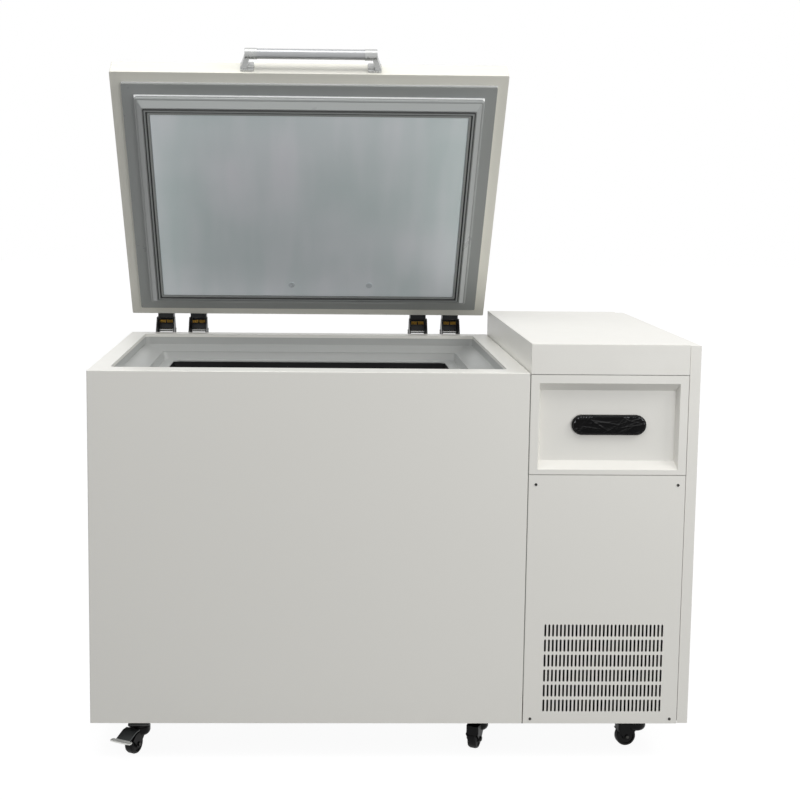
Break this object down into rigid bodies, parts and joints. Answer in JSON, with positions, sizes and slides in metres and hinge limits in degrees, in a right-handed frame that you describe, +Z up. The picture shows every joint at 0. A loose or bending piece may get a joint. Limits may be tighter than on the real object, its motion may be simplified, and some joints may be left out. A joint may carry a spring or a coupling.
{
  "type": "laboratory freezer",
  "caption": "White low-temperature chest freezer with a raised hinged lid, stepped insulating plug, side machine compartment with a slotted vent and swivel casters.",
  "frame": {"origin": "on the floor under the middle of the whole part, lid open as stored", "axes": "+X to the right along the front, towards the machine compartment; +Y from the front to the back; +Z up"},
  "size_m": [1.506, 0.957, 1.804],
  "materials": {
    "white_paint": "satin",
    "frame_paint": "satin",
    "galvanised": "satin",
    "foam": "matte",
    "tank_steel": "satin",
    "copper": "satin",
    "collar_grey": "satin",
    "plug_grey": "satin",
    "gasket_black": "matte",
    "panel_silver": "satin",
    "cap_grey": "satin",
    "handle_silver": "satin",
    "handle_cast": "satin",
    "screw_steel": "satin",
    "hinge_black": "satin",
    "spring_gold": "satin",
    "pin_steel": "satin",
    "display_black": "gloss",
    "lens_black": "gloss",
    "compressor_black": "satin",
    "foot_rubber": "matte",
    "fin_aluminium": "satin",
    "fan_black": "matte",
    "motor_paint": "satin",
    "exchanger_cover": "matte",
    "control_paint": "satin",
    "caster_black": "satin",
    "caster_tread": "matte",
    "pedal_steel": "satin",
    "inlet_black": "satin"
  },
  "bodies": {
    "cabinet": {"chest_wrap": "white_paint", "chest_back_panel": "white_paint", "chest_bottom_pan": "galvanised", "chest_insulation": "foam", "storage_tank": "tank_steel", "cooling_coil": "copper", "rim_collar": "collar_grey", "throat_collar": "collar_grey", "base_frame": "frame_paint", "hinge_bases": "hinge_black", "hinge_pins": "pin_steel", "hinge_base_screws": "screw_steel", "side_panel": "white_paint", "rear_panel": "white_paint", "top_cover": "white_paint", "upper_panel": "white_paint", "display_housing": "display_black", "display_lens": "lens_black", "vent_panel": "white_paint", "panel_screws": "screw_steel", "bay_tray": "galvanised", "bay_frame": "galvanised", "compressor_high_stage": "compressor_black", "compressor_low_stage": "compressor_black", "compressor_feet": "foot_rubber", "condenser": "fin_aluminium", "fan_shroud": "frame_paint", "fan_motor": "motor_paint", "heat_exchanger": "exchanger_cover", "control_box": "control_paint", "filter_drier": "copper", "copper_pipes": "copper", "power_inlet": "inlet_black", "caster_mounts": "caster_black"},
    "lid": {"lid_shell": "white_paint", "lid_insulation": "foam", "lid_plug_frame": "plug_grey", "lid_gasket": "gasket_black", "lid_inner_panel": "panel_silver", "lid_foam_plugs": "cap_grey", "handle_tube": "handle_silver", "handle_brackets": "handle_cast", "handle_screws": "handle_silver", "hinge_leaves": "hinge_black", "hinge_leaf_screws": "screw_steel", "hinge_springs": "spring_gold"},
    "fan": {"fan_rotor": "fan_black"},
    "pedal": {"brake_pedal": "pedal_steel"},
    "fork_front_left": {"caster_fork_front_left": "caster_black"},
    "wheel_front_left": {"caster_wheel_front_left": "caster_tread"},
    "fork_front_middle": {"caster_fork_front_middle": "caster_black"},
    "wheel_front_middle": {"caster_wheel_front_middle": "caster_tread"},
    "fork_front_right": {"caster_fork_front_right": "caster_black"},
    "wheel_front_right": {"caster_wheel_front_right": "caster_tread"},
    "fork_rear_left": {"caster_fork_rear_left": "caster_black"},
    "wheel_rear_left": {"caster_wheel_rear_left": "caster_tread"},
    "fork_rear_middle": {"caster_fork_rear_middle": "caster_black"},
    "wheel_rear_middle": {"caster_wheel_rear_middle": "caster_tread"},
    "fork_rear_right": {"caster_fork_rear_right": "caster_black"},
    "wheel_rear_right": {"caster_wheel_rear_right": "caster_tread"}
  },
  "joints": [
    {"name": "lid_hinge", "type": "hinge", "parent": "cabinet", "child": "lid", "pos_m": [-0.214, 0.44992, 0.988], "axis": [-1, 0, 0], "range_deg": [-56.6, 28.4]},
    {"name": "swivel_front_left", "type": "hinge", "parent": "cabinet", "child": "fork_front_left", "pos_m": [-0.6365, -0.38608, 0.065], "axis": [0, 0, 1], "continuous": true},
    {"name": "roll_front_left", "type": "hinge", "parent": "fork_front_left", "child": "wheel_front_left", "pos_m": [-0.64876, -0.41014, 0.026], "axis": [0.891, -0.454, 0], "continuous": true},
    {"name": "swivel_front_middle", "type": "hinge", "parent": "cabinet", "child": "fork_front_middle", "pos_m": [0.235, -0.35208, 0.065], "axis": [0, 0, 1], "continuous": true},
    {"name": "roll_front_middle", "type": "hinge", "parent": "fork_front_middle", "child": "wheel_front_middle", "pos_m": [0.22359, -0.37655, 0.026], "axis": [0.9063, -0.4226, 0], "continuous": true},
    {"name": "swivel_front_right", "type": "hinge", "parent": "cabinet", "child": "fork_front_right", "pos_m": [0.645, -0.35208, 0.065], "axis": [0, 0, 1], "continuous": true},
    {"name": "roll_front_right", "type": "hinge", "parent": "fork_front_right", "child": "wheel_front_right", "pos_m": [0.61841, -0.35677, 0.026], "axis": [0.1736, -0.9848, 0], "continuous": true},
    {"name": "swivel_rear_left", "type": "hinge", "parent": "cabinet", "child": "fork_rear_left", "pos_m": [-0.6365, 0.32392, 0.065], "axis": [0, 0, 1], "continuous": true},
    {"name": "roll_rear_left", "type": "hinge", "parent": "fork_rear_left", "child": "wheel_rear_left", "pos_m": [-0.623, 0.3473, 0.026], "axis": [-0.866, 0.5, 0], "continuous": true},
    {"name": "swivel_rear_middle", "type": "hinge", "parent": "cabinet", "child": "fork_rear_middle", "pos_m": [0.235, 0.32392, 0.065], "axis": [0, 0, 1], "continuous": true},
    {"name": "roll_rear_middle", "type": "hinge", "parent": "fork_rear_middle", "child": "wheel_rear_middle", "pos_m": [0.22359, 0.34839, 0.026], "axis": [-0.9063, -0.4226, 0], "continuous": true},
    {"name": "swivel_rear_right", "type": "hinge", "parent": "cabinet", "child": "fork_rear_right", "pos_m": [0.645, 0.32392, 0.065], "axis": [0, 0, 1], "continuous": true},
    {"name": "roll_rear_right", "type": "hinge", "parent": "fork_rear_right", "child": "wheel_rear_right", "pos_m": [0.64969, 0.35051, 0.026], "axis": [-0.9848, 0.1736, 0], "continuous": true},
    {"name": "brake_press", "type": "hinge", "parent": "fork_front_left", "child": "pedal", "pos_m": [-0.65466, -0.42172, 0.058], "axis": [0.891, -0.454, 0], "range_deg": [0, 14]},
    {"name": "fan_spin", "type": "hinge", "parent": "cabinet", "child": "fan", "pos_m": [0.52975, -0.36308, 0.226], "axis": [0, 1, 0], "continuous": true}
  ]
}
